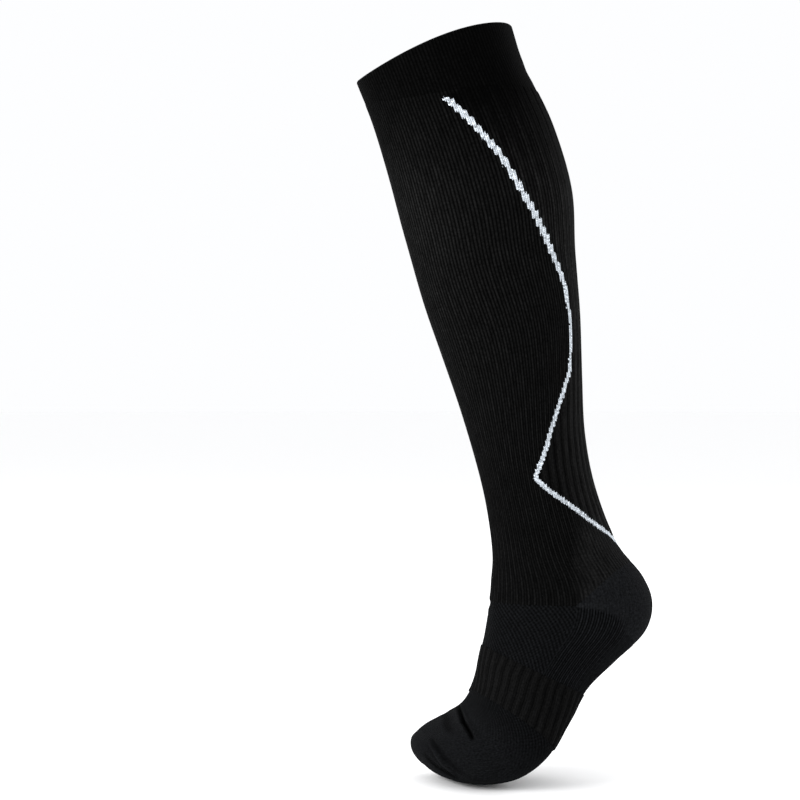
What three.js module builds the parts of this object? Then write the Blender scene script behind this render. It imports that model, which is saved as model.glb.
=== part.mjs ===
import * as THREE from 'three';

// A knee-length compression stocking for the left leg, hollow, in the shape it has when worn
// with the heel raised and the toes bent up. Millimetres, +Z up. The toes point to -X and the
// outer side of the leg faces -Y. The origin is the middle of the top opening.

// Thickness of the knit in each zone
const weltWall = 2.4;
const legWall = 1.4;
const heelWall = 2.0;
const footWall = 1.6;

// Neighbouring zones stay this far apart
const seamGap = 0.3;

// Depth of the doubled top band, at the shin and behind the knee
const weltFront = 14;
const weltBack = 50;

// The broad ribs of the calf panel and of the arch band
const ribCount = 36;
const ribHeight = 0.9;
const ribShoulder = 0.3;
const ribFade = 3;

// Sections from the top opening to the toes, each a closed ring through a front point and a
// back point in the plane of the leg. On the foot the front is the instep and the back the sole.
// fullness moves the widest place towards the front, corner below 1 squares the ring, bow lifts
// its sides, skew sets its inner side forward and shift moves it towards the inner side.
const columns = ['frontX', 'frontZ', 'backX', 'backZ', 'halfWidth', 'fullness', 'corner', 'bow', 'skew', 'shift'];
const sections = {
  topOpening: [-54, -20, 52, 19, 52, -0.04, 1, 6, 0, 0],
  weltEnd: [-43, -46, 61, -8, 53, -0.05, 1, 5, 0, 0],
  upperCalf: [-31, -84, 81, -48, 55, -0.06, 1, 3, 0, 0],
  fullCalf: [-20, -124, 94, -91, 56, -0.08, 1, 1, 0, 0],
  lowerCalf: [-8.5, -164, 97, -134, 51, -0.08, 1, 0, 0, 0],
  calfEnd: [5, -203, 101, -177, 45, -0.05, 1, 0, 0, 0],
  shin: [19, -242, 103, -220, 38, 0, 1, 0, 0, 0],
  ankleTop: [30.5, -280, 105.5, -261, 32, 0, 1, 0, 0, 0],
  ankle: [38.5, -314, 114, -300, 30, 0, 1, 0, 0, 0],
  ankleLow: [42, -344, 129, -336, 32, 0, 1, 0, 0, 0],
  heelTop: [41, -363, 149, -360, 34, 0, 1, 0, 0, 0],
  heel: [40, -377, 156, -380, 34, 0, 0.95, 0, 0, 0],
  heelLow: [38.5, -389, 150, -399, 33, 0, 0.9, 0, 0, 0],
  archRear: [35.5, -403, 128, -418, 33, 0, 0.9, 0, 0, -1],
  arch: [32.5, -418, 106.5, -436, 34, -0.05, 0.9, 0, 1, -1],
  bandEnd: [30.5, -434, 91, -457, 38, -0.08, 0.85, 0, 3, 0],
  ball: [26.5, -446, 70, -482, 43, -0.1, 0.8, 0, 6, 1],
  toeRoot: [19, -452, 43, -497.5, 43, -0.1, 0.8, 0, 8, 2],
  toeMiddle: [6, -459, 12.5, -498, 38, -0.1, 0.8, 0, 8, 4],
  toeEnd: [-5, -466, -3, -489.5, 25, 0, 0.9, 0, 5, 7],
};
const sectionRows = Object.values(sections);
const lastSection = sectionRows.length - 1;

// The toe closes past the last section in a dome this long, along this direction. Its last row
// and its pole lie these shares of a section past the last one.
const toeDome = 8;
const toeDirection = new THREE.Vector3(-1, 0, 0.25).normalize();
const toeLastRow = 0.8;
const toePole = 0.9999;

// Where the zones meet, as places along the list of sections
const heelSide = 10.9;
const heelUpper = 9.5;
const heelUnder = 12.6;
const heelUpperEase = 3;
const heelUnderEase = 1.4;
const archStart = { front: 13.16, back: 14.26 };
const archEnd = { front: 15.25, back: 15.82 };
const archEase = 1.2;
const toeStart = 17;

// The leg's tube is made in three lengths, which meet at these places
const calfEndPlace = 4.6;
const shinEndPlace = 7.6;

// The heel reaches this far forward on each side, in degrees of girth from the front
const heelTurn = 80;
const heelTip = 2;

// The calf panel's front edge: turn, in degrees of girth from the front, at a place along
const panelEdge = [
  { along: 1.2, turn: 69 },
  { along: 1.7, turn: 80 },
  { along: 2.3, turn: 91 },
  { along: 3.0, turn: 100 },
  { along: 3.7, turn: 113 },
  { along: 4.4, turn: 127 },
  { along: 5.1, turn: 134 },
  { along: 5.8, turn: 131 },
  { along: 6.5, turn: 107 },
  { along: 7.0, turn: 92 },
  { along: 7.46, turn: 74 },
  { along: 7.73, turn: 86 },
  { along: 7.97, turn: 100 },
  { along: 8.21, turn: 114 },
  { along: 8.45, turn: 128 },
  { along: 8.69, turn: 146 },
  { along: 9.12, turn: 180 },
];

const knit = { color: 0x141519, roughness: 0.85, metalness: 0 };

// The section at a place along the list, by a smooth curve through the rows
function sectionAt(along) {
  const place = Math.min(along, lastSection);
  const index = Math.max(0, Math.min(Math.floor(place), lastSection - 1));
  const t = place - index;
  const start = sectionRows[index];
  const end = sectionRows[index + 1];
  const values = start.map((value, k) => {
    const before = index > 0 ? sectionRows[index - 1][k] : 2 * value - end[k];
    const after = index + 2 <= lastSection ? sectionRows[index + 2][k] : 2 * end[k] - value;
    const slope = end[k] - before;
    const bend = 2 * before - 5 * value + 4 * end[k] - after;
    const twist = 3 * value - before - 3 * end[k] + after;
    return value + 0.5 * (slope * t + bend * t * t + twist * t * t * t);
  });
  return Object.fromEntries(columns.map((name, k) => [name, values[k]]));
}

// A ring of points round one section, starting at its front and passing the outer side first
function ringPoints(along) {
  const section = sectionAt(along);
  const past = Math.max(0, along - lastSection) * Math.PI / 2;
  const size = Math.cos(past);
  const front = new THREE.Vector3(section.frontX, 0, section.frontZ);
  const back = new THREE.Vector3(section.backX, 0, section.backZ);
  const middle = front.clone().add(back).multiplyScalar(0.5);
  const toFront = front.clone().sub(middle);
  const lift = new THREE.Vector3(toFront.z, 0, -toFront.x).normalize();
  middle.addScaledVector(toeDirection, toeDome * Math.sin(past) ** 2);
  const bent = (value) => Math.sign(value) * Math.abs(value) ** section.corner;
  const points = [];
  const steps = 120;
  for (let step = 0; step <= steps; step++) {
    const angle = (step / steps) * 2 * Math.PI;
    const across = bent(Math.sin(angle));
    const forward = bent(Math.cos(angle)) + section.fullness * across * across;
    const point = middle.clone();
    point.addScaledVector(toFront, forward * size);
    point.addScaledVector(lift, section.bow * across * across);
    point.y -= section.halfWidth * across * size - section.shift;
    point.x += section.skew * across * size;
    points.push(point);
  }
  return points;
}

// A point of the outer surface, at a place along and a turn in degrees of girth
function surfacePoint(along, turn) {
  const points = ringPoints(along);
  const lengths = [0];
  for (let k = 1; k < points.length; k++) {
    lengths.push(lengths[k - 1] + points[k].distanceTo(points[k - 1]));
  }
  const wanted = (((turn % 360) + 360) % 360) / 360 * lengths[lengths.length - 1];
  let k = 1;
  while (k < points.length - 1 && lengths[k] < wanted) k++;
  const share = (wanted - lengths[k - 1]) / (lengths[k] - lengths[k - 1]);
  return points[k - 1].clone().lerp(points[k], share);
}

// The direction out of the cloth, from the surface's slopes along and round
function surfaceNormal(along, turn) {
  const reach = 0.02;
  const swing = 2;
  const down = surfacePoint(along + reach, turn).sub(surfacePoint(along - reach, turn));
  const round = surfacePoint(along, turn + swing).sub(surfacePoint(along, turn - swing));
  return down.cross(round).normalize();
}

// The place reached by moving a distance along the surface at one turn
function slide(along, turn, distance) {
  const stride = 4;
  const strides = Math.max(1, Math.ceil(Math.abs(distance) / stride));
  const reach = 0.02;
  let place = along;
  for (let k = 0; k < strides; k++) {
    const near = Math.max(place, reach);
    const span = surfacePoint(near + reach, turn).distanceTo(surfacePoint(near - reach, turn));
    place += (distance / strides) * (2 * reach / span);
  }
  return place;
}

// Turns past the back count down again, so both sides of the stocking are alike
const halfTurn = (turn) => 180 - Math.abs(180 - turn);
const frontToBack = (turn, edge) => edge.front + (edge.back - edge.front) * Math.sin(turn * Math.PI / 360) ** archEase;

function weltLine(turn) {
  const depth = weltFront + (weltBack - weltFront) * Math.sin(turn * Math.PI / 360);
  return slide(0, turn, depth);
}

function heelLine(turn, limit, ease) {
  const t = Math.max(0, (halfTurn(turn) - heelTurn) / (180 - heelTurn));
  return heelSide + (limit - heelSide) * (1 - (1 - t) ** ease);
}

const heelTopLine = (turn) => heelLine(turn, heelUpper, heelUpperEase);
const heelLowLine = (turn) => heelLine(turn, heelUnder, heelUnderEase);
const archTopLine = (turn) => frontToBack(turn, archStart);
const archLowLine = (turn) => frontToBack(turn, archEnd);
const toeLine = () => toeStart;
const calfLine = () => calfEndPlace;
const shinLine = () => shinEndPlace;

// How far the broad ribs stand up at a turn: a flat crest between valleys on the sector lines
function ribProfile(turn) {
  const share = (turn * ribCount / 360) % 1;
  return Math.min(1, Math.min(share, 1 - share) / ribShoulder);
}

function panelTurn(along) {
  const next = panelEdge.findIndex((row) => row.along > along);
  if (next < 1) return 180;
  const start = panelEdge[next - 1];
  const end = panelEdge[next];
  return start.turn + (end.turn - start.turn) * (along - start.along) / (end.along - start.along);
}

function panelRibs(along, turn) {
  const inside = (halfTurn(turn) - panelTurn(along)) / ribFade;
  return ribHeight * ribProfile(turn) * Math.min(1, Math.max(0, inside));
}

// Outer columns of a zone, sector by sector: ribbed sectors get the two shoulders of their rib
function outerColumns(first, last, ribbed) {
  const sector = 360 / ribCount;
  const turns = [];
  const sectorStarts = [];
  for (let turn = first; turn < last; turn += sector) {
    sectorStarts.push(turns.length);
    turns.push(turn);
    if (ribbed(turn + sector / 2)) {
      turns.push(turn + sector * ribShoulder, turn + sector * (1 - ribShoulder));
    }
  }
  return { turns, sectorStarts };
}

// A closed wall of cloth between two lines that run round the stocking. A full ring wraps round
// and an open patch gets side edges. A wall that closes ends in a point instead of a lower edge.
function clothWall({ name, from, to, rows, thickness, ribs = () => 0, ribbed = () => false, patch, closes }) {
  const first = patch ? patch.first : 0;
  const last = patch ? patch.last : 360;
  const { turns, sectorStarts } = outerColumns(first, last, ribbed);
  const innerTurns = sectorStarts.map((start) => turns[start]);
  if (patch) {
    sectorStarts.push(turns.length);
    turns.push(last);
    innerTurns.push(last);
    turns[0] = innerTurns[0] = first + heelTip;
    turns[turns.length - 1] = innerTurns[innerTurns.length - 1] = last - heelTip;
  } else {
    sectorStarts.push(turns.length);
  }

  const positions = [];
  const triangles = [];
  const addPoint = (along, turn, height) => {
    const point = surfacePoint(along, turn).addScaledVector(surfaceNormal(along, turn), height);
    positions.push(point.x, point.y, point.z);
    return positions.length / 3 - 1;
  };
  const grid = (columnTurns, height) => rows.map((share) => columnTurns.map((turn) => {
    const upper = slide(from(turn), turn, from === topLine ? 0 : seamGap / 2);
    const lower = closes ? to(turn) : slide(to(turn), turn, -seamGap / 2);
    const along = upper + (lower - upper) * share;
    return addPoint(along, turn, height(along, turn));
  }));
  const outer = grid(turns, ribs);
  const inner = grid(innerTurns, () => -thickness);

  const addTriangle = (a, b, c, flip) => triangles.push(a, ...(flip ? [c, b] : [b, c]));
  const sheet = (points, inside) => {
    const count = points[0].length;
    for (let i = 0; i + 1 < points.length; i++) {
      for (let j = 0; j < (patch ? count - 1 : count); j++) {
        const next = (j + 1) % count;
        addTriangle(points[i][j], points[i + 1][j], points[i][next], inside);
        addTriangle(points[i + 1][j], points[i + 1][next], points[i][next], inside);
      }
    }
  };
  sheet(outer, false);
  sheet(inner, true);

  // The edge between the outer and the inner surface, one sector at a time
  const rim = (outerRow, innerRow, flip) => {
    for (let s = 0; s + 1 < sectorStarts.length; s++) {
      const line = [];
      for (let k = sectorStarts[s]; k <= sectorStarts[s + 1]; k++) line.push(outerRow[k % outerRow.length]);
      const near = innerRow[s];
      const far = innerRow[(s + 1) % innerRow.length];
      const half = Math.floor((line.length - 1) / 2);
      for (let k = 0; k + 1 < line.length; k++) addTriangle(line[k], line[k + 1], k < half ? near : far, flip);
      addTriangle(near, line[half], far, flip);
    }
  };
  rim(outer[0], inner[0], false);

  const end = rows.length - 1;
  if (closes) {
    const cap = (row, height, inside) => {
      const pole = addPoint(lastSection + toePole, 0, height);
      row.forEach((point, j) => addTriangle(point, pole, row[(j + 1) % row.length], inside));
    };
    cap(outer[end], 0, false);
    cap(inner[end], -thickness, true);
  } else {
    rim(outer[end], inner[end], true);
  }

  if (patch) {
    const side = (column, innerColumn, flip) => {
      for (let i = 0; i < end; i++) {
        addTriangle(outer[i][column], inner[i][innerColumn], outer[i + 1][column], flip);
        addTriangle(inner[i][innerColumn], inner[i + 1][innerColumn], outer[i + 1][column], flip);
      }
    };
    side(0, 0, false);
    side(turns.length - 1, innerTurns.length - 1, true);
  }

  const geometry = new THREE.BufferGeometry();
  geometry.setAttribute('position', new THREE.Float32BufferAttribute(positions, 3));
  geometry.setIndex(triangles);
  geometry.computeVertexNormals();
  const mesh = new THREE.Mesh(geometry, new THREE.MeshStandardMaterial(knit));
  mesh.name = name;
  return mesh;
}

function evenRows(count) {
  return Array.from({ length: count + 1 }, (unused, k) => k / count);
}

const topLine = () => 0;
const toeEndLine = () => lastSection + toeLastRow;
const archRows = [0, 0.08, 0.36, 0.64, 0.92, 1];

const legCloth = {
  thickness: legWall,
  ribs: panelRibs,
  ribbed: (turn) => halfTurn(turn) > panelEdge[0].turn,
};

const zones = [
  { name: 'welt', from: topLine, to: weltLine, rows: evenRows(4), thickness: weltWall },
  { name: 'upper_leg', from: weltLine, to: calfLine, rows: evenRows(8), ...legCloth },
  { name: 'lower_leg', from: calfLine, to: shinLine, rows: evenRows(7), ...legCloth },
  { name: 'ankle', from: shinLine, to: heelTopLine, rows: evenRows(5), ...legCloth },
  {
    name: 'heel',
    from: heelTopLine,
    to: heelLowLine,
    rows: evenRows(6),
    thickness: heelWall,
    patch: { first: heelTurn, last: 360 - heelTurn },
  },
  { name: 'instep', from: heelLowLine, to: archTopLine, rows: evenRows(5), thickness: footWall },
  {
    name: 'arch_band',
    from: archTopLine,
    to: archLowLine,
    rows: archRows,
    thickness: footWall,
    ribs: (along, turn) => ribHeight * ribProfile(turn),
    ribbed: () => true,
  },
  { name: 'forefoot', from: archLowLine, to: toeLine, rows: evenRows(4), thickness: footWall },
  { name: 'toe_cap', from: toeLine, to: toeEndLine, rows: evenRows(8), thickness: heelWall, closes: true },
];

const group = new THREE.Group();
zones.forEach((zone) => group.add(clothWall(zone)));

export default group;
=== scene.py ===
import math
import bpy
import numpy as np
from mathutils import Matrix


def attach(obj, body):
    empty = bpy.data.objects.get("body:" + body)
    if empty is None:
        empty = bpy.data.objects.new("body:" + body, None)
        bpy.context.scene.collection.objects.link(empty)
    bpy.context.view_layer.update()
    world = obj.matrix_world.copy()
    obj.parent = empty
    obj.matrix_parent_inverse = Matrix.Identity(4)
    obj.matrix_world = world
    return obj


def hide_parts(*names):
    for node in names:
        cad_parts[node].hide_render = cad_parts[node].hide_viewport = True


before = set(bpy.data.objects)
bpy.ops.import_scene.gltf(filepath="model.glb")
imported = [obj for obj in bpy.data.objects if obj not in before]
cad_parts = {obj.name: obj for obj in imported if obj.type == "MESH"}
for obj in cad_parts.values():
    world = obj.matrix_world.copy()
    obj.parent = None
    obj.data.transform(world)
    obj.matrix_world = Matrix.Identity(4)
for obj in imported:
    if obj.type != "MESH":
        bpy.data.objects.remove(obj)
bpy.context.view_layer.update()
print("frame loaded with", len(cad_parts), "nodes")

mm = 0.001
waleCount = 144  # fine ribs all round the tube
broadCount = 36  # broad ribs all round, four wales each
ankleRibCount = 90  # the soft ribs behind the ankle, above the heel

# The stocking's sections from the top opening to the toes, in millimetres, as in the CAD source.
# Each is a closed ring through a front point and a back point in the plane of the leg.
columns = ("frontX", "frontZ", "backX", "backZ", "halfWidth", "fullness", "corner", "bow", "skew", "shift")
sections = {
    "topOpening": (-54, -20, 52, 19, 52, -0.04, 1, 6, 0, 0),
    "weltEnd": (-43, -46, 61, -8, 53, -0.05, 1, 5, 0, 0),
    "upperCalf": (-31, -84, 81, -48, 55, -0.06, 1, 3, 0, 0),
    "fullCalf": (-20, -124, 94, -91, 56, -0.08, 1, 1, 0, 0),
    "lowerCalf": (-8.5, -164, 97, -134, 51, -0.08, 1, 0, 0, 0),
    "calfEnd": (5, -203, 101, -177, 45, -0.05, 1, 0, 0, 0),
    "shin": (19, -242, 103, -220, 38, 0, 1, 0, 0, 0),
    "ankleTop": (30.5, -280, 105.5, -261, 32, 0, 1, 0, 0, 0),
    "ankle": (38.5, -314, 114, -300, 30, 0, 1, 0, 0, 0),
    "ankleLow": (42, -344, 129, -336, 32, 0, 1, 0, 0, 0),
    "heelTop": (41, -363, 149, -360, 34, 0, 1, 0, 0, 0),
    "heel": (40, -377, 156, -380, 34, 0, 0.95, 0, 0, 0),
    "heelLow": (38.5, -389, 150, -399, 33, 0, 0.9, 0, 0, 0),
    "archRear": (35.5, -403, 128, -418, 33, 0, 0.9, 0, 0, -1),
    "arch": (32.5, -418, 106.5, -436, 34, -0.05, 0.9, 0, 1, -1),
    "bandEnd": (30.5, -434, 91, -457, 38, -0.08, 0.85, 0, 3, 0),
    "ball": (26.5, -446, 70, -482, 43, -0.1, 0.8, 0, 6, 1),
    "toeRoot": (19, -452, 43, -497.5, 43, -0.1, 0.8, 0, 8, 2),
    "toeMiddle": (6, -459, 12.5, -498, 38, -0.1, 0.8, 0, 8, 4),
    "toeEnd": (-5, -466, -3, -489.5, 25, 0, 0.9, 0, 5, 7),
}
sectionRows = np.array(list(sections.values()), float)
lastSection = len(sectionRows) - 1
toeDome = 8
toeDirection = np.array((-1, 0, 0.25)) / math.hypot(1, 0.25)


def sectionsAt(along):  # smooth curves through the rows, one value of each column per place
    place = np.minimum(along, lastSection)
    index = np.clip(np.floor(place).astype(int), 0, lastSection - 1)
    t = (place - index)[:, None]
    first, last = 2 * sectionRows[0] - sectionRows[1], 2 * sectionRows[-1] - sectionRows[-2]
    rows = np.vstack([first, sectionRows, last])
    before, start, end, after = (rows[index + k] for k in range(4))
    slope = end - before
    bend = 2 * before - 5 * start + 4 * end - after
    twist = 3 * start - before - 3 * end + after
    values = start + 0.5 * (slope * t + bend * t**2 + twist * t**3)
    return {name: values[:, k:k + 1] for k, name in enumerate(columns)}


# The surface is worked out once on a fine lattice: rows down the stocking, columns round it
lattice = {"rows": 1000, "turnStep": 0.5, "reach": lastSection + 0.999}
latticeAlong = np.linspace(0, lattice["reach"], lattice["rows"])
latticeTurn = np.arange(0, 360 + lattice["turnStep"], lattice["turnStep"])


def buildSurface():
    section = sectionsAt(latticeAlong)
    past = np.maximum(0, latticeAlong - lastSection)[:, None] * math.pi / 2
    size = np.cos(past)
    angle = np.radians(latticeTurn)[None, :]
    bent = lambda value: np.sign(value) * np.abs(value) ** section["corner"]
    across = bent(np.sin(angle))
    forward = bent(np.cos(angle)) + section["fullness"] * across**2
    toFrontX = (section["frontX"] - section["backX"]) / 2
    toFrontZ = (section["frontZ"] - section["backZ"]) / 2
    reach = np.hypot(toFrontX, toFrontZ)
    lift = section["bow"] * across**2
    dome = toeDome * np.sin(past) ** 2
    x = (section["frontX"] + section["backX"]) / 2 + dome * toeDirection[0]
    x = x + toFrontX * forward * size + lift * toFrontZ / reach + section["skew"] * across * size
    y = section["shift"] - section["halfWidth"] * across * size
    z = (section["frontZ"] + section["backZ"]) / 2 + dome * toeDirection[2]
    z = z + toFrontZ * forward * size - lift * toFrontX / reach
    rings = np.stack([x, y, z], axis=2) * mm
    surface = np.empty_like(rings)
    for row, ring in enumerate(rings):  # equal steps of girth, so the ribs keep an even pitch
        steps = np.linalg.norm(np.diff(ring, axis=0), axis=1)
        girthSoFar = np.concatenate([[0], np.cumsum(steps)])
        wanted = np.linspace(0, girthSoFar[-1], len(latticeTurn))
        surface[row] = np.stack([np.interp(wanted, girthSoFar, ring[:, k]) for k in range(3)], axis=1)
    return surface


def outwards(surface):
    down = np.gradient(surface, axis=0)
    ring = surface[:, :-1]
    around = np.roll(ring, -1, axis=1) - np.roll(ring, 1, axis=1)
    around = np.concatenate([around, around[:, :1]], axis=1)
    normal = np.cross(down, around)
    return normal / np.linalg.norm(normal, axis=2, keepdims=True)


def sample(grid, along, turn):  # bilinear, with the turn wrapping round
    row = np.interp(along, latticeAlong, np.arange(len(latticeAlong)))
    column = (turn % 360) / lattice["turnStep"]
    r = np.minimum(row.astype(int), len(latticeAlong) - 2)
    c = np.minimum(column.astype(int), len(latticeTurn) - 2)
    s, t = row - r, column - c
    if grid.ndim == 3:
        s, t = s[..., None], t[..., None]
    upper = grid[r, c] * (1 - t) + grid[r, c + 1] * t
    lower = grid[r + 1, c] * (1 - t) + grid[r + 1, c + 1] * t
    return upper * (1 - s) + lower * s


surface = buildSurface()
normals = outwards(surface)
downSteps = np.linalg.norm(np.diff(surface, axis=0), axis=2)
downLength = np.concatenate([np.zeros((1, len(latticeTurn))), np.cumsum(downSteps, axis=0)])
girth = np.linalg.norm(np.diff(surface, axis=1), axis=2).sum(axis=1)
print("surface lattice made")

# Creases pressed into the cloth, each along a path of places (along, turn), where a depth below 0
# raises a tuck. The toe's deep fold and its tuck are in view. Soft ones like them lie on the sides
# that the picture hides.
# The shade of each crease is painted shade that darkens the cloth's colour along it; a raised tuck also gets a
# painted highlight on its ridge.
creases = {
    "toeFold": {
        "path": ((16.4, -30), (16.75, -15), (17.08, 1), (17.42, 23), (17.58, 42), (17.65, 53), (17.7, 61)),
        "depth": 4.2, "width": 1.3, "ridge": 0.15, "shade": 1.0},
    "toeTuck": {
        "path": ((19.4, 40), (19.48, 72), (19.4, 90), (19.3, 100), (18.86, 112), (18.56, 122), (18.34, 126)),
        "depth": -0.9, "width": 1.4, "ridge": 0.3, "shade": 0.3},
    "toeTuckSide": {
        "path": ((19.34, 39), (19.38, 66), (19.22, 82), (18.86, 96), (18.58, 105), (18.34, 109)),
        "depth": 0.6, "width": 2.0, "ridge": 0.1, "shade": 0.42},
    "toeUnder": {
        "path": ((19.66, 118), (19.5, 127), (19.2, 131), (18.8, 134), (18.55, 131), (18.4, 127)),
        "depth": 0.8, "width": 2.7, "ridge": 0.1, "shade": 0.85},
    "toeDip": {
        "path": ((17.2, -40), (17.64, -8), (18.02, 14), (18.2, 34)),
        "depth": 0.4, "width": 2.6, "ridge": 0, "shade": 0.6},
    "ankleNotch": {
        "path": ((11.05, -14), (11.12, 0), (11.14, 14)), "depth": 0.8, "width": 2.2, "ridge": 0.4},
    "toeFoldInner": {
        "path": ((17.1, 318), (17.3, 300), (17.35, 282)), "depth": 1.2, "width": 1.8, "ridge": 0.4},
    "toeTuckInner": {
        "path": ((19.1, 290), (18.7, 266), (18.4, 250)), "depth": -0.5, "width": 1.5, "ridge": 0.5},
    "kneeBack": {"path": ((1.1, 150), (1.2, 176), (1.15, 204)), "depth": 0.5, "width": 4.0, "ridge": 0.3},
    "kneeBackLow": {"path": ((1.9, 168), (1.95, 190), (1.85, 222)), "depth": 0.4, "width": 5.0, "ridge": 0.2},
    "heelBack": {"path": ((8.9, 160), (8.95, 182), (8.85, 209)), "depth": 0.5, "width": 3.5, "ridge": 0.4},
    "ankleInner": {
        "path": ((10.3, 322), (10.5, 304), (10.55, 284)), "depth": 0.5, "width": 3.2, "ridge": 0.4},
    "archInner": {"path": ((12.9, 344), (13.2, 318), (13.3, 296)), "depth": 0.4, "width": 3.6, "ridge": 0.3},
}


pressing = {
    "points": 60,  # along each path
    "windowAlong": 1.2,  # how far past the path's ends the cloth can move
    "windowTurn": 30,
    "endFade": 0.6,
    "shoulderAt": 2,  # in widths from the path
    "shadeGain": 1.6,
    "backSpread": 4,  # the inner side gives way more widely than the outer
}


def pressCrease(path, depth, width, ridge, shade=0.3):
    stretch = np.linspace(0, len(path) - 1, pressing["points"])
    knots = np.arange(len(path))
    pathAlong = np.interp(stretch, knots, [place[0] for place in path])
    pathTurn = np.interp(stretch, knots, [place[1] for place in path])
    points = sample(surface, pathAlong, pathTurn)
    rows = np.flatnonzero(np.abs(latticeAlong - pathAlong.mean()) < np.ptp(pathAlong) + pressing["windowAlong"])
    offTurn = np.abs((latticeTurn - pathTurn.mean() + 180) % 360 - 180)
    cols = np.flatnonzero(offTurn < np.ptp(pathTurn) / 2 + pressing["windowTurn"])
    window = np.ix_(rows, cols)
    gaps = np.linalg.norm(surface[window][:, :, None] - points, axis=3)
    nearest = gaps.argmin(axis=2)
    gap = gaps.min(axis=2) / mm
    fade = np.sin(np.pi * (nearest + 1) / (len(points) + 1)) ** pressing["endFade"]
    trough = np.exp(-(gap / width) ** 2)
    shoulder = np.exp(-(gap / width - pressing["shoulderAt"]) ** 2)
    relief[window] += fade * depth * mm * (ridge * shoulder - trough)
    backWidth = width + pressing["backSpread"]
    backRelief[window] -= fade * max(depth, 0) * mm * np.exp(-(gap / backWidth) ** 2)
    # painted shade in a fold; on a raised tuck, painted shade on its shoulders and a painted highlight on its
    # ridge
    if depth > 0:
        deep = np.clip(pressing["shadeGain"] * np.sqrt(fade) * trough, 0, 1)
        foldShade[window] *= 1 - shade * deep
    else:
        foldShade[window] *= (1 - shade * fade * shoulder) * (1 + shade * fade * trough)


relief, backRelief = np.zeros((2, *surface.shape[:2]))
foldShade = np.ones(surface.shape[:2])  # painted shade at the bottom of a fold, where less light reaches, and a painted highlight on a tuck's ridge
for crease in creases.values():
    pressCrease(**crease)

# The cloth is never quite even: slow waves cross on it, and stop before the tip of the toe
waves = {"height": 0.12 * mm, "smallShare": 0.6, "stopAt": 19.2, "stopOver": 1.5}
a, t = latticeAlong[:, None], np.radians(latticeTurn)[None, :]
largeWaves = np.sin(2.3 * a + 2 * t) * np.sin(1.1 * a - 3 * t + 1)
smallWaves = np.sin(4.1 * a - t + 2) * np.sin(5 * t + 0.7 * a)
stopping = np.clip((waves["stopAt"] - a) / waves["stopOver"], 0, 1)
relief += waves["height"] * (largeWaves + waves["smallShare"] * smallWaves) * stopping
relief[:, -1], backRelief[:, -1] = relief[:, 0], backRelief[:, 0]
backSurface = surface + normals * backRelief[..., None]
surface = surface + normals * relief[..., None]
print("creases pressed:", len(creases))

# Lines where the zones of the knit meet, as in the CAD source
zones = {
    "weltFront": 14 * mm,
    "weltBack": 50 * mm,
    "heelSide": 10.9,
    "heelUpper": 9.5,
    "heelUnder": 12.6,
    "heelTurn": 80,
    "heelUpperEase": 3,
    "heelUnderEase": 1.4,
    "archStart": (13.16, 14.26),
    "archEnd": (15.25, 15.82),
    "archEase": 1.2,
    "toeStart": 17,
}


def slide(turn, distance):  # the place reached by going down from the top edge
    columnAt = (turn % 360) / lattice["turnStep"]
    return np.array([np.interp(d, downLength[:, int(c)], latticeAlong) for c, d in zip(columnAt, distance)])


def halfTurn(turn):
    return 180 - np.abs(180 - turn % 360)


def weltLine(turn):
    depth = zones["weltBack"] - zones["weltFront"]
    return slide(turn, zones["weltFront"] + depth * np.sin(np.radians(turn) / 2))


def heelLine(turn, limit, ease):
    t = np.maximum(0, (halfTurn(turn) - zones["heelTurn"]) / (180 - zones["heelTurn"]))
    return zones["heelSide"] + (limit - zones["heelSide"]) * (1 - (1 - t) ** ease)


def heelTopLine(turn):
    return heelLine(turn, zones["heelUpper"], zones["heelUpperEase"])


def heelLowLine(turn):
    return heelLine(turn, zones["heelUnder"], zones["heelUnderEase"])


def frontToBack(turn, line):
    front, back = zones[line]
    return front + (back - front) * np.sin(np.radians(halfTurn(turn)) / 2) ** zones["archEase"]


def archTopLine(turn):
    return frontToBack(turn, "archStart")


def archLowLine(turn):
    return frontToBack(turn, "archEnd")


def toeLine(turn):
    return np.full(len(turn), float(zones["toeStart"]))


def toeEndLine(turn):
    return np.full(len(turn), latticeAlong[-1])


def topLine(turn):
    return np.zeros(len(turn))


def blend(value, start, end):  # 0 before start, 1 past end
    return np.clip((value - start) / (end - start), 0, 1)


# The wales lean back over the calf and come forward again at the shin
lean = {"start": 3.4, "peak": 5.3, "end": 7.9, "degrees": 8}
leanTries = 6  # enough for the place of a wale to settle


def leanAt(along):
    rise, fall = blend(along, lean["start"], lean["peak"]), blend(along, lean["peak"], lean["end"])
    return lean["degrees"] * (np.sin(rise * math.pi / 2) ** 2 - np.sin(fall * math.pi / 2) ** 2)


def placeOf(along, turn):  # where round the leg a wale lies
    place = turn
    for _ in range(leanTries):
        place = turn + leanAt(along) * np.sin(np.radians(place))
    return place


# The pale line that borders the calf panel, as turns from the front at places along the leg
linePath = {
    1.2: 69, 1.7: 80, 2.3: 91, 3.0: 100, 3.7: 113, 4.4: 127, 5.1: 134, 5.8: 131, 6.5: 107, 7.0: 92,
    7.46: 74, 7.73: 86, 7.97: 100, 8.21: 114, 8.45: 128, 8.69: 146, 9.12: 180,
}
line = {
    "start": 1.24,
    "end": 9.2,
    "halfWidths": (2.0 * mm, 1.5 * mm),  # at the two places of narrows
    "narrows": (4.6, 6.6),
    "slopeReach": 0.08,
}
lineAlong, lineTurn = np.array(list(linePath)), np.array(list(linePath.values()), float)
courseHeight = 1.15 * mm
meanLength = downLength[:, :-1].mean(axis=1)


def panelTurn(along):
    inside = (along > lineAlong[0]) & (along < lineAlong[-1])
    return np.where(inside, np.interp(along, lineAlong, lineTurn), 180)


def courseAt(along):
    return np.interp(along, latticeAlong, meanLength) / courseHeight


def lineWaleAt(along):
    place = np.interp(along, lineAlong, lineTurn)
    return (place - leanAt(along) * np.sin(np.radians(place))) * waleCount / 360


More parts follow.
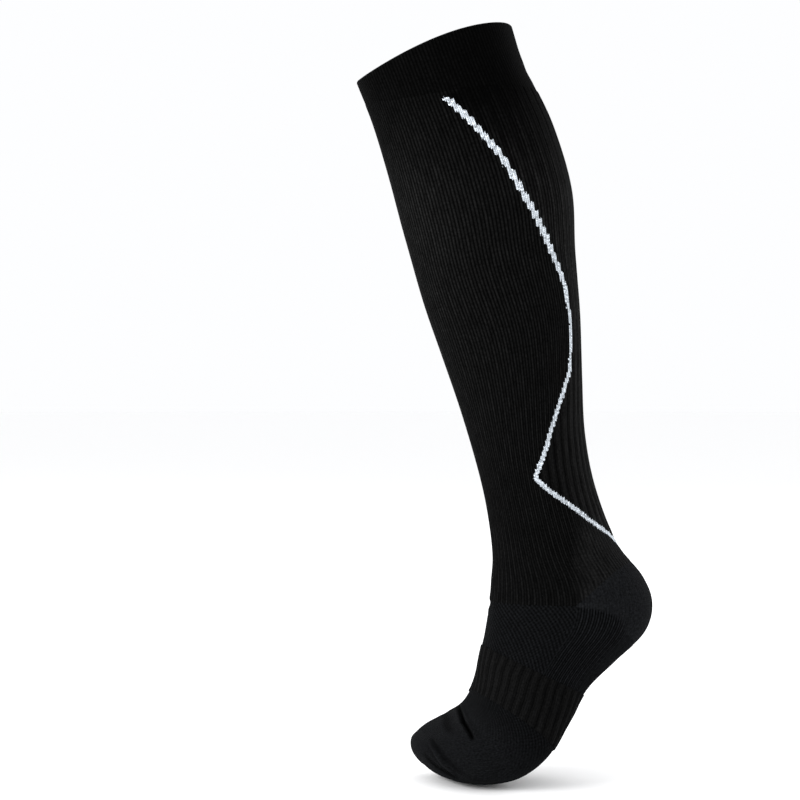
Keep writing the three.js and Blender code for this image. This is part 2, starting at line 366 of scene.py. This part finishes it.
def lineAttributes(along):  # where the line is, in wales, how fast it moves and how far it reaches
    wale = lineWaleAt(along)
    ahead, behind = along + line["slopeReach"], along - line["slopeReach"]
    slope = (lineWaleAt(ahead) - lineWaleAt(behind)) / (courseAt(ahead) - courseAt(behind))
    pitch = np.interp(along, latticeAlong, girth) / waleCount
    halfWidth = np.interp(along, line["narrows"], line["halfWidths"])
    reach = halfWidth / pitch * np.hypot(1, slope * pitch / courseHeight)
    reach = np.where((along > line["start"]) & (along < line["end"]), reach, 0)
    return {"lineWale": wale, "lineSlope": slope, "lineReach": reach}


# Relief of the knit, as heights from 0 to 1 by the turn
ribSharpness = 1.5
strongSlant = 0.65  # share of the stronger slant of the mesh


def fineRib(turn):
    return (0.5 - 0.5 * np.cos(np.radians(turn) * waleCount)) ** ribSharpness


def otherWale(turn):  # 1 on every second wale and -1 on the ones between
    return np.cos(np.pi * (turn * waleCount / 360 - 0.5))


def broadRib(turn, shoulder):
    share = (turn * broadCount / 360) % 1
    rise = np.clip(np.minimum(share, 1 - share) / shoulder, 0, 1)
    return rise * rise * (3 - 2 * rise)


def meshKnit(turn, along, mesh):  # slanting yarns between small openings, one slant stronger
    u, v = turn * mesh["count"] / 360, courseAt(along) * courseHeight / mesh["length"]
    strong, weak = 0.5 + 0.5 * np.cos(2 * np.pi * (u - v)), 0.5 + 0.5 * np.cos(2 * np.pi * (u + v))
    return strongSlant * strong + (1 - strongSlant) * weak


making = {
    "insideTone": 0.35,  # tone of the inner side
    "rollBends": (150, 120, 90, 60, 30),  # degrees round the turned-over edge
    "rollProbe": 0.02,  # how far down the edge's direction is measured
    "weld": 0.002 * mm,
    "smoothAngle": 75,
}


# A closed shell of cloth: outer rows down, inner rows up, joined at both edges
def knitPiece(name, top, bottom, profile, thickness, rows, innerRows, columns=576, patch=None,
              lined=False, rolled=False):
    turn = np.linspace(*patch, columns + 1) if patch else np.arange(columns) * 360 / columns
    upper, lower = top(turn), bottom(turn)
    roll = thickness / 2 if rolled else 0
    upperOuter = upper + (slide(turn, np.full(len(turn), roll)) if rolled else 0)
    outerAlong = upperOuter + (lower - upperOuter) * np.linspace(0, 1, rows + 1)[:, None]
    innerAlong = upperOuter + (lower - upperOuter) * np.linspace(1, 0, innerRows + 1)[:, None]
    along = np.vstack([outerAlong, innerAlong])
    outerPlace, innerPlace = placeOf(outerAlong, turn), placeOf(innerAlong, turn)
    raised, tone = profile(outerAlong, np.broadcast_to(turn, outerAlong.shape))
    outer = sample(surface, outerAlong, outerPlace)
    outer += sample(normals, outerAlong, outerPlace) * (raised * mm)[..., None]
    inner = sample(backSurface, innerAlong, innerPlace)
    inner -= sample(normals, innerAlong, innerPlace) * thickness
    points = np.concatenate([outer, inner])
    if rolled:  # the doubled band turns over in a round edge
        start = sample(surface, upperOuter, turn)
        out = sample(normals, upperOuter, turn)
        up = start - sample(surface, upperOuter + making["rollProbe"], turn)
        up /= np.linalg.norm(up, axis=1, keepdims=True)
        bends = np.radians(making["rollBends"])[:, None, None]
        arc = start + out * (np.cos(bends) - 1) * roll + up * np.sin(bends) * roll
        points = np.concatenate([points, arc])
        along = np.vstack([along, np.broadcast_to(upperOuter, (len(bends), len(turn)))])
    loopRows, loopColumns = along.shape
    stitchUp = courseAt(along)

    # How far each row lies round the loop, for the second map, which spreads the piece over the whole square
    steps = np.linalg.norm(points - np.roll(points, 1, axis=0), axis=2).max(axis=1)
    loopShare = np.concatenate([[0], np.cumsum(np.roll(steps, -1))])
    loopShare /= loopShare[-1]

    faceRows, faceColumns = np.arange(loopRows), np.arange(loopColumns - (1 if patch else 0))
    r, c = (grid.ravel() for grid in np.meshgrid(faceRows, faceColumns, indexing="ij"))
    nextRow, nextColumn = (r + 1) % loopRows, (c + 1) % loopColumns
    corners = ((r, c), (nextRow, c), (nextRow, nextColumn), (r, nextColumn))
    faces = np.stack([row * loopColumns + column for row, column in corners], axis=1)
    mesh = bpy.data.meshes.new(name)
    mesh.from_pydata(points.reshape(-1, 3).tolist(), [], faces.tolist())
    wale = np.append(turn, turn[0] + 360)[: loopColumns + 1] * waleCount / 360
    knitMap = np.stack([
        np.stack([wale[c], stitchUp[r, c]], axis=1),
        np.stack([wale[c], stitchUp[nextRow, c]], axis=1),
        np.stack([wale[c + 1], stitchUp[nextRow, nextColumn]], axis=1),
        np.stack([wale[c + 1], stitchUp[r, nextColumn]], axis=1),
    ], axis=1)
    columnShare = np.linspace(0, 1, loopColumns + (0 if patch else 1))
    bakeMap = np.stack([
        np.stack([columnShare[c], loopShare[r]], axis=1),
        np.stack([columnShare[c], loopShare[r + 1]], axis=1),
        np.stack([columnShare[c + 1], loopShare[r + 1]], axis=1),
        np.stack([columnShare[c + 1], loopShare[r]], axis=1),
    ], axis=1)
    for mapName, corner in (("knit", knitMap), ("OFBake", bakeMap)):
        layer = mesh.uv_layers.new(name=mapName)
        layer.uv.foreach_set("vector", corner.astype(np.float32).ravel())
    values = {"crest": np.full(along.shape, making["insideTone"]), "foldShade": np.ones(along.shape)}
    values["crest"][:rows + 1] = tone
    values["foldShade"][:rows + 1] = sample(foldShade, outerAlong, outerPlace)
    if lined:
        values.update(lineAttributes(along))
    for attributeName, value in values.items():
        attribute = mesh.attributes.new(attributeName, "FLOAT", "POINT")
        attribute.data.foreach_set("value", value.astype(np.float32).ravel())

    piece = bpy.data.objects.new(name, mesh)
    bpy.context.collection.objects.link(piece)
    bpy.ops.object.select_all(action="DESELECT")
    bpy.context.view_layer.objects.active = piece
    piece.select_set(True)
    bpy.ops.object.mode_set(mode="EDIT")
    bpy.ops.mesh.select_all(action="SELECT")
    bpy.ops.mesh.remove_doubles(threshold=making["weld"])
    bpy.ops.mesh.normals_make_consistent(inside=False)
    bpy.ops.object.mode_set(mode="OBJECT")
    bpy.ops.object.shade_smooth_by_angle(angle=math.radians(making["smoothAngle"]))
    print(name, "has", sum(len(p.vertices) - 2 for p in mesh.polygons), "triangles")
    return piece


class Wire:  # a socket on which the usual operators add Math nodes
    def __init__(self, tree, socket=None):
        self.tree, self.socket = tree, socket

    def node(self, kind, settings=None, values=None, out=0):
        made = self.tree.nodes.new(kind)
        for name, value in (settings or {}).items():
            setattr(made, name, value)
        for key, value in (values or {}).items():
            if isinstance(value, Wire):
                self.tree.links.new(value.socket, made.inputs[key])
            else:
                made.inputs[key].default_value = value
        return Wire(self.tree, made.outputs[out] if made.outputs else None)

    def output(self, name):
        return Wire(self.tree, self.socket.node.outputs[name])

    def math(self, operation, *values):
        return self.node("ShaderNodeMath", {"operation": operation}, dict(enumerate(values)))

    def __add__(self, other):
        return self.math("ADD", self, other)

    def __radd__(self, other):
        return self.math("ADD", other, self)

    def __sub__(self, other):
        return self.math("SUBTRACT", self, other)

    def __rsub__(self, other):
        return self.math("SUBTRACT", other, self)

    def __mul__(self, other):
        return self.math("MULTIPLY", self, other)

    def __rmul__(self, other):
        return self.math("MULTIPLY", other, self)

    def __lt__(self, other):
        return self.math("LESS_THAN", self, other)

    def __abs__(self):
        return self.math("ABSOLUTE", self)


stitching = {
    "climb": 0.6,  # how far the legs of a stitch climb from its middle, in courses
    "loopShare": 0.65,  # share of a stitch's form that its loop gives
    "ground": 0.75,  # painted shade: tone between stitches and what a stitch adds to it
    "crown": 0.4,
    "patchGround": 0.85,
    "patchReach": 0.3,
    "streakPlace": (0.9, 0.09),  # scale of the noise by wales and courses
    "grainPlace": (1.3, 0.7),
    "linePlace": (1.6, 0.57),
    "fuzzScale": 2600,
    "patchScale": 35,
    "wholeWale": 0.7,  # share of the line's steps that are a whole wale wide, the rest half a wale
    "legGap": 0.65,  # painted shade: how dark the line is painted between the legs of a stitch
    "lineGround": 0.1,
    "lineReach": 1.8,
    "lineScale": 1.7,
    "fuzzRoughness": 0.08,
}


def knitCloth(name, look, lined):
    material = bpy.data.materials.new(name)
    material.use_nodes = True
    material.node_tree.nodes.clear()
    start = Wire(material.node_tree)
    knit = start.node("ShaderNodeUVMap", {"uv_map": "knit"})
    wale = start.node("ShaderNodeSeparateXYZ", {}, {"Vector": knit})
    course = wale.output("Y")
    waleShare = start.math("FRACT", wale)
    side = abs(waleShare * 2 - 1)  # 0 on the middle of a wale, 1 between two
    stitchUp = course + stitching["climb"] * side
    strand = 1 - abs(side * 2 - 1) * abs(side * 2 - 1)
    loop = start.math("SINE", start.math("FRACT", stitchUp) * math.pi)
    stitch = strand * (1 - stitching["loopShare"] + stitching["loopShare"] * loop)

    # Yarn is never even: drifts along the wales, from stitch to stitch, in patches and in its fuzz
    def drift(place, scale, detail):
        return start.node("ShaderNodeTexNoise", {}, {"Vector": place, "Scale": scale, "Detail": detail})

    def onKnit(across, down, scales):
        return start.node("ShaderNodeCombineXYZ", {}, {"X": across * scales[0], "Y": down * scales[1]})

    body = start.node("ShaderNodeTexCoord").output("Object")
    alongWale = onKnit(wale, course, stitching["streakPlace"])
    byStitch = onKnit(wale, course, stitching["grainPlace"])
    fuzz, patches = drift(body, stitching["fuzzScale"], 2), drift(body, stitching["patchScale"], 3)
    # crest: the tone of each zone of knit, with painted shade in the rib valleys and painted light on the rib
    # crests
    crest = start.node("ShaderNodeAttribute", {"attribute_name": "crest"}).output("Fac")
    foldShade = start.node("ShaderNodeAttribute", {"attribute_name": "foldShade"}).output("Fac")
    bright = crest * (1 - look["streak"] + 2 * look["streak"] * drift(alongWale, 1, 2))
    grain = 1 + look["grain"] * (drift(byStitch, 1, 1) - 0.5)
    # painted shade between the stitches, lighter on each stitch's legs
    stitched = stitching["ground"] + stitching["crown"] * stitch
    patchy = stitching["patchGround"] + stitching["patchReach"] * patches
    uneven = stitched * patchy * grain
    yarn = start.node("ShaderNodeMix", {"data_type": "RGBA", "clamp_factor": False},
                      {"Factor": bright, 6: look["dark"], 7: look["light"]}, out=2)
    yarn = start.node("ShaderNodeVectorMath", {"operation": "SCALE"}, {0: yarn, "Scale": uneven * foldShade})
    if lined:  # the pale line is knitted in, so its edges step from leg to leg of the stitches
        lineWale, lineSlope, lineReach = (
            start.node("ShaderNodeAttribute", {"attribute_name": key}).output("Fac")
            for key in ("lineWale", "lineSlope", "lineReach"))
        legs = start.math("FLOOR", wale * 2)
        whole = stitching["wholeWale"]
        cellPlace = whole * (start.math("FLOOR", wale) + 0.5) + (1 - whole) * (0.5 * legs + 0.25)
        waleCell = waleCount / 2 - abs(waleCount / 2 - cellPlace)
        courseCell = start.math("FLOOR", stitchUp) + 0.5
        cell = onKnit(waleCell, courseCell, stitching["linePlace"])
        ragged = lineReach * (1 - look["ragged"] / 2 + look["ragged"] * drift(cell, 1, 0))
        mask = abs(waleCell - lineWale - lineSlope * (courseCell - stitchUp)) < ragged
        # painted shade between the legs of the pale line's stitches and towards the ends of each loop
        gap = abs((wale * 2 - legs) * 2 - 1)
        strands = (1 - stitching["legGap"] * gap * gap) * (0.5 + 0.5 * loop)
        lineDrift = stitching["lineReach"] * drift(cell, stitching["lineScale"], 0)
        strands = strands * (stitching["lineGround"] + lineDrift)
        pale = start.node("ShaderNodeVectorMath", {"operation": "SCALE"}, {0: look["line"], "Scale": strands})
        yarn = start.node("ShaderNodeMix", {"data_type": "RGBA"}, {"Factor": mask, 6: yarn, 7: pale}, out=2)
    height = stitch * look["stitchDepth"] + fuzz * look["fuzz"]
    bump = start.node("ShaderNodeBump", {}, {"Height": height, "Distance": mm, "Strength": 1.0})
    shader = start.node("ShaderNodeBsdfPrincipled", {}, {
        "Base Color": yarn, "Roughness": look["roughness"] + stitching["fuzzRoughness"] * fuzz,
        "Normal": bump,
        "Specular IOR Level": look["specular"], "Sheen Weight": look["sheen"],
        "Sheen Roughness": look["sheenSpread"], "Sheen Tint": look["sheenTint"]})
    start.node("ShaderNodeOutputMaterial", {}, {"Surface": shader})
    return material


blackYarn = {
    "dark": (0.0006, 0.0006, 0.0006, 1), "light": (0.0100, 0.0100, 0.0100, 1), "line": (0.84, 0.91, 0.98),
    "roughness": 0.78, "stitchDepth": 0.12, "fuzz": 0.05, "specular": 0.01, "sheen": 0.012,
    "sheenSpread": 0.3, "sheenTint": (0.8, 0.85, 0.9, 1), "streak": 0.9, "grain": 1.8, "ragged": 0.6,
}
footYarn = {**blackYarn, "light": (0.0094, 0.0100, 0.0110, 1), "streak": 0.4, "grain": 2.0}


# Profiles of the knit: how far it is raised, in millimetres, and its tone from 0 dark to 1 light. Where the
# tone follows the ribs, it is painted shade in their valleys and painted light on their crests.
welt = {"ribHeight": 0.22, "ribTone": 0.29, "backShade": 0.35, "backTurns": (60, 110)}


def weltProfile(along, turn):
    rib = fineRib(turn)
    shade = welt["backShade"] * blend(halfTurn(turn), *welt["backTurns"])
    return welt["ribHeight"] * rib, welt["ribTone"] * rib * (1 - shade)


def unlikeWales(turn):  # an uneven share for each wale, the same every time
    number = np.floor(turn * waleCount / 360 + 0.5)
    return 0.5 + 0.5 * np.sin(2.4 * number) * np.sin(0.83 * number + 1)


panel = {
    "edge": 3,  # turn over which its ribs rise behind the line
    "change": (4.2, 5.8),  # where the flat ribs above give way to the round ones below
    "upper": {"broad": 0.45, "shoulder": 0.16, "fine": 0.4},
    "upperTone": {"valley": 0.1, "even": 0.15, "uneven": 2.1, "start": 0.1, "startAlong": (1.4, 3.1)},
    "lower": {"broad": 0.9, "shoulder": 0.4, "fine": 0.12},
    # side and back: painted rim light, the lower panel's ribs are painted darker on the side of the calf and
    # lighter towards its back
    "lowerTone": {"valley": 0.12, "broad": 0.5, "fine": 0.36, "side": 0.6, "back": 0.85, "turns": (95, 150)},
}


def panelProfile(along, turn, half):
    fine, unlike = fineRib(turn), unlikeWales(turn)
    upper, lower = panel["upper"], panel["lower"]
    upperTone, lowerTone = panel["upperTone"], panel["lowerTone"]
    low = blend(along, *panel["change"])
    upperHeight = upper["broad"] * broadRib(turn, upper["shoulder"]) + upper["fine"] * fine * unlike
    lowerHeight = lower["broad"] * broadRib(turn, lower["shoulder"]) + lower["fine"] * fine
    start = upperTone["start"] + (1 - upperTone["start"]) * blend(along, *upperTone["startAlong"])
    above = upperTone["valley"] + fine * (upperTone["even"] + upperTone["uneven"] * unlike)
    below = lowerTone["valley"] + lowerTone["broad"] * broadRib(turn, lower["shoulder"])
    below = below + lowerTone["fine"] * fine
    # painted rim light: the lower panel's tone rises towards the back of the calf
    lift = lowerTone["side"] + lowerTone["back"] * blend(half, *lowerTone["turns"])
    height = upperHeight * (1 - low) + lowerHeight * low
    return height, above * start * (1 - low) + below * lift * low


leg = {
    "ribHeight": 0.45,
    "otherHeight": 0.12,  # how much higher every second wale stands
    "closer": (4.5, 9.5),  # towards the ankle the ribs stand close and flat
    "closerTone": 0.12,
    "closerFlat": 0.45,
    "otherTone": 0.1,
    "closerOther": 0.3,
    "start": 0.5,
    "startAlong": (0.8, 2.6),
    "shin": {"along": 2.7, "length": 1.1, "turn": 26, "width": 26, "lift": 0.45},  # painted highlight: a patch on the front of the leg is painted lighter, as sheen where it catches the light
    # painted light: the ribs are painted lighter on the front of the leg than on its sides
    "side": 0.14,
    "sideTurns": (15, 45),
    "smoothEdge": ((8.0, 8.6, 9.2, 9.6, 10.2), (112, 108, 96, 91, 86)),  # turns along the leg, above the heel
    "smoothBlend": 8,
    "smoothAlong": (7.9, 8.7),
    "smoothTone": {"valley": 0.36, "rib": 0.6, "fine": 0.15},
    "smoothHeight": {"rib": 0.25, "fine": 0.1},
}


def legProfile(along, turn):
    half, other, fine = halfTurn(placeOf(along, turn)), otherWale(turn), fineRib(turn)
    inside = blend(half - panelTurn(along), 0, panel["edge"])
    panelHeight, panelTone = panelProfile(along, turn, half)
    closer = blend(along, *leg["closer"])
    contrast = 1 + (leg["otherTone"] + leg["closerOther"] * closer) * other
    ribTone = leg["closerTone"] * closer + fine * (1 - leg["closerFlat"] * closer) * contrast
    ribTone = ribTone * (leg["start"] + (1 - leg["start"]) * blend(along, *leg["startAlong"]))
    shin = leg["shin"]
    # painted highlight: the ribs are painted lighter on this patch of the leg's front, as sheen
    offShin = ((along - shin["along"]) / shin["length"]) ** 2 + ((half - shin["turn"]) / shin["width"]) ** 2
    ribTone = ribTone * (1 + shin["lift"] * np.exp(-offShin))
    # painted light: darker on the sides of the leg than on its lit front
    ribTone = ribTone * (1 - leg["side"] * blend(half, *leg["sideTurns"]))
    edge = np.interp(along, *leg["smoothEdge"])
    smooth = blend(half, edge - leg["smoothBlend"], edge + leg["smoothBlend"])
    smooth = smooth * blend(along, *leg["smoothAlong"])
    ankleRib = 0.5 - 0.5 * np.cos(np.radians(turn) * ankleRibCount)
    tone, height = leg["smoothTone"], leg["smoothHeight"]
    smoothTone = tone["valley"] + tone["rib"] * ankleRib + tone["fine"] * fine
    smoothHeight = height["rib"] * ankleRib + height["fine"] * fine
    ribTone = ribTone * (1 - smooth) + smoothTone * smooth
    ribHeight = leg["ribHeight"] * fine * (1 + leg["otherHeight"] * other)
    ribHeight = ribHeight * (1 - smooth) + smoothHeight * smooth
    return ribHeight * (1 - inside) + panelHeight * inside, ribTone * (1 - inside) + panelTone * inside


# The wedge of strong ribs under each side of the heel
sole = {
    "frontTurns": (78, 86),
    "backEdge": ((10.95, 11.15, 11.27, 11.57, 12.25), (88, 102, 112, 122, 130)),
    "backBlend": (8, -2),
    "startAlong": (10.9, 11.05),
}


def soleRibs(along, half):
    backEdge = np.interp(along, *sole["backEdge"])
    back = blend(-half, -backEdge - sole["backBlend"][0], -backEdge - sole["backBlend"][1])
    return blend(half, *sole["frontTurns"]) * back * blend(along, *sole["startAlong"])


heel = {
    "ribHeight": 0.14,
    "soleHeight": 0.3,
    "plainTone": (0.72, 0.18),  # in the valleys, and what a rib adds
    "edgeTone": (0.2, 0.8),
    "soleTone": (0.04, 1.15),
    "soleOther": 0.2,
    "edgeTurns": (-96, -82),  # the leg's ribs run out into the plain knit
    "edgeAlong": (-10.9, -10.6),
    "gore": {"width": 0.09, "frontTurns": (81, 85), "backTurns": (-128, -90), "height": 0.3, "tone": 0.28},
}


def heelProfile(along, turn):
    half, rib, gore = halfTurn(turn), fineRib(turn), heel["gore"]
    goreLine = np.exp(-((along - zones["heelSide"]) / gore["width"]) ** 2)
    goreLine = goreLine * blend(half, *gore["frontTurns"]) * blend(-half, *gore["backTurns"])
    ribbed = soleRibs(along, half)
    edge = blend(-half, *heel["edgeTurns"]) * blend(-along, *heel["edgeAlong"])
    plainTone = heel["plainTone"][0] + heel["plainTone"][1] * rib
    edgeTone = heel["edgeTone"][0] + heel["edgeTone"][1] * rib
    soleTone = heel["soleTone"][0] + heel["soleTone"][1] * rib * (1 + heel["soleOther"] * otherWale(turn))
    tone = (plainTone * (1 - edge) + edgeTone * edge) * (1 - ribbed) + soleTone * ribbed
    height = (heel["ribHeight"] + heel["soleHeight"] * ribbed) * rib
    return height + gore["height"] * goreLine, tone + gore["tone"] * goreLine


instep = {
    "mesh": {"count": 94, "length": 3.8 * mm},  # slanting yarns all round, and how far one runs down
    "meshTurns": (-86, -78),
    "height": 0.4,
    "meshTone": (0.06, 0.66),
    "soleTone": (0.02, 1.1),
    "soleOther": 0.25,
    "backTone": (0.55, 0.2),
    "backShade": 0.2,
    "backAlong": (12.6, 13.8),
}


def instepProfile(along, turn):
    half, fine = halfTurn(turn), fineRib(turn)
    ribbed, mesh = soleRibs(along, half), blend(-half, *instep["meshTurns"])
    knit = meshKnit(turn, along, instep["mesh"])
    meshTone = instep["meshTone"][0] + instep["meshTone"][1] * knit
    contrast = 1 + instep["soleOther"] * otherWale(turn)
    soleTone = instep["soleTone"][0] + instep["soleTone"][1] * fine * contrast
    backTone = instep["backTone"][0] - instep["backShade"] * blend(along, *instep["backAlong"])
    backTone = backTone + instep["backTone"][1] * fine
    tone = meshTone * mesh + soleTone * ribbed + backTone * (1 - ribbed - mesh)
    return instep["height"] * (mesh * knit + (1 - mesh) * fine), tone


band = {
    "shoulder": 0.42,
    "height": {"broad": 0.9, "fine": 0.12},
    "tone": {"valley": 0.15, "broad": 0.23, "fine": 0.24},
}


def bandProfile(along, turn):
    broad, fine = broadRib(turn, band["shoulder"]), fineRib(turn)
    height, tone = band["height"], band["tone"]
    raised = height["broad"] * broad + height["fine"] * fine
    return raised, tone["valley"] + tone["broad"] * broad + tone["fine"] * fine


forefoot = {
    "mesh": {"count": 80, "length": 3.3 * mm},
    "meshTurns": ((36, 52), (-128, -112)),
    "meshHeight": 0.4,
    "ribHeight": 0.25,
    "meshTone": (0.08, 0.48),
    "ribTone": (0.02, 0.6),
    "other": 0.3,
    "plainAlong": (15.9, 17.0),  # the toe's closer knit starts gradually
    "plainCover": 0.7,
    "plainTone": (0.38, 0.1),
}


def forefootProfile(along, turn):
    half, fine = halfTurn(turn), fineRib(turn)
    front, back = forefoot["meshTurns"]
    mesh = blend(half, *front) * blend(-half, *back)
    knit = meshKnit(turn, along, forefoot["mesh"])
    meshTone = forefoot["meshTone"][0] + forefoot["meshTone"][1] * knit
    ribTone = forefoot["ribTone"][0] + forefoot["ribTone"][1] * fine * (1 + forefoot["other"] * otherWale(turn))
    plain = blend(along, *forefoot["plainAlong"])
    plainTone = forefoot["plainTone"][0] + forefoot["plainTone"][1] * fine
    tone = (meshTone * mesh + ribTone * (1 - mesh)) * (1 - forefoot["plainCover"] * plain) + plainTone * plain
    return forefoot["meshHeight"] * mesh * knit + forefoot["ribHeight"] * (1 - mesh) * fine, tone


toe = {
    "tone": 0.58,
    "ribHeight": 0.14,
    "knitTone": 0.3,
    "ribsEnd": (-19.6, -18.8),
    "meshEnds": (-18.2, -17.0),
    # painted highlight on the upper front of the toe tip, where the light falls
    "tipHighlight": 0.08,
    "tipAlong": (18, 19),
    "tipTurns": (-120, -60),
}


def toeProfile(along, turn):
    ribs, mesh = blend(-along, *toe["ribsEnd"]), blend(-along, *toe["meshEnds"])
    rib, knit = fineRib(turn), meshKnit(turn, along, forefoot["mesh"])
    # painted highlight: the toe tip is painted lighter on its upper front side
    tip = toe["tipHighlight"] * blend(along, *toe["tipAlong"]) * blend(-halfTurn(turn), *toe["tipTurns"])
    knitted = toe["knitTone"] * ((knit - 0.5) * mesh + (rib - 0.5) * ribs)
    return toe["ribHeight"] * rib * ribs, toe["tone"] + tip + knitted


pieces = {
    "weltKnit": {
        "cloth": dict(top=topLine, bottom=weltLine, profile=weltProfile, thickness=2.4 * mm,
                      rows=16, innerRows=6, rolled=True),
        "look": {**blackYarn, "stitchDepth": 0.1}, "replaces": ("welt",), "slot": "welt_knit",
        "flat": (0.274, 0.049), "area": 0.0098,
    },
    "legKnit": {
        "cloth": dict(top=weltLine, bottom=heelTopLine, profile=legProfile, thickness=1.4 * mm,
                      rows=136, innerRows=30, lined=True),
        "look": blackYarn, "replaces": ("upper_leg", "lower_leg", "ankle"), "slot": "leg_knit",
        "flat": (0.290, 0.347), "area": 0.0786,
    },
    "heelKnit": {
        "cloth": dict(top=heelTopLine, bottom=heelLowLine, profile=heelProfile, thickness=2.0 * mm,
                      rows=60, innerRows=20, columns=400, patch=(80, 280)),
        "look": footYarn, "replaces": ("heel",), "slot": "plain_knit",
        "flat": (0.130, 0.071), "area": 0.0053,
    },
    "instepKnit": {
        "cloth": dict(top=heelLowLine, bottom=archTopLine, profile=instepProfile, thickness=1.6 * mm,
                      rows=90, innerRows=14),
        "look": footYarn, "replaces": ("instep",), "slot": "mesh_knit",
        "flat": (0.237, 0.051), "area": 0.0095,
    },
    "archBandKnit": {
        "cloth": dict(top=archTopLine, bottom=archLowLine, profile=bandProfile, thickness=1.6 * mm,
                      rows=30, innerRows=10),
        "look": {**blackYarn, "streak": 0.6}, "replaces": ("arch_band",), "slot": "band_knit",
        "flat": (0.188, 0.046), "area": 0.0069,
    },
    "forefootKnit": {
        "cloth": dict(top=archLowLine, bottom=toeLine, profile=forefootProfile, thickness=1.6 * mm,
                      rows=100, innerRows=20, columns=432),
        "look": footYarn, "replaces": ("forefoot",), "slot": "mesh_knit",
        "flat": (0.190, 0.038), "area": 0.00525,
    },
    "toeCapKnit": {
        "cloth": dict(top=toeLine, bottom=toeEndLine, profile=toeProfile, thickness=2.0 * mm,
                      rows=120, innerRows=20, columns=432),
        "look": footYarn, "replaces": ("toe_cap",), "slot": "plain_knit",
        "flat": (0.184, 0.078), "area": 0.0071,
    },
}
for name, piece in pieces.items():
    made = knitPiece(name, **piece["cloth"])
    made.data.materials.append(knitCloth(name + "Cloth", piece["look"], "lined" in piece["cloth"]))
    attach(made, "root")
    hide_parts(*piece["replaces"])
print("knit pieces made:", len(pieces))

# A wide pale floor under a pale sky, nearly of one tone
studio = {
    "floor": -0.4997,
    "radius": 40.0,
    "shade": (0.99, 0.99, 0.99, 1),
    "sky": (0.985, 0.99, 1, 1),
    "skyStrength": 1.0,
    "edges": 96,
    "roughness": 0.9,
}
bpy.ops.object.select_all(action="DESELECT")
bpy.ops.mesh.primitive_circle_add(
    vertices=studio["edges"], radius=studio["radius"], fill_type="NGON", location=(0, 0, studio["floor"]))
floor = bpy.context.active_object
floor.name = "studioFloor"
floorPaint = bpy.data.materials.new("floorPaint")
floorPaint.use_nodes = True
floorShader = floorPaint.node_tree.nodes["Principled BSDF"]
floorShader.inputs["Base Color"].default_value = studio["shade"]
floorShader.inputs["Roughness"].default_value = studio["roughness"]
floor.data.materials.append(floorPaint)

world = bpy.data.worlds.new("softRoom")
world.use_nodes = True
sky = world.node_tree.nodes["Background"]
sky.inputs["Color"].default_value = studio["sky"]
sky.inputs["Strength"].default_value = studio["skyStrength"]
bpy.context.scene.world = world

lamps = {
    "keyLamp": {"place": (-2.5, -0.35, 0.8), "power": 56, "size": 1.6},
    "edgeLamp": {"place": (2.4, 0.9, 0.4), "power": 30, "size": 1.6},
    "backLamp": {"place": (-1.0, 2.2, 0.8), "power": 25, "size": 1.6},
}
middle = np.array((0.05, 0, -0.25))  # where the lamps point
for name, lamp in lamps.items():
    data = bpy.data.lights.new(name, "AREA")
    data.energy, data.size = lamp["power"], lamp["size"]
    light = bpy.data.objects.new(name, data)
    bpy.context.collection.objects.link(light)
    light.location = lamp["place"]
    direction = middle - np.array(lamp["place"])
    yaw = math.atan2(direction[1], direction[0]) - math.pi / 2
    pitch = math.atan2(direction[2], math.hypot(direction[0], direction[1])) + math.pi / 2
    light.rotation_euler = (pitch, 0, yaw)

# The camera stands level, 13 degrees round towards the toes
camera = {"place": (-0.3084, -1.2292, -0.2370), "turn": -13, "lens": 83.25, "sensor": 36}
cameraData = bpy.data.cameras.new("camera")
cameraData.lens, cameraData.sensor_width = camera["lens"], camera["sensor"]
cameraObject = bpy.data.objects.new("camera", cameraData)
bpy.context.collection.objects.link(cameraObject)
cameraObject.location = camera["place"]
cameraObject.rotation_euler = (math.radians(90), 0, math.radians(camera["turn"]))
bpy.context.scene.camera = cameraObject
bpy.context.scene.view_settings.view_transform = "Standard"
print("studio, lamps and camera placed")
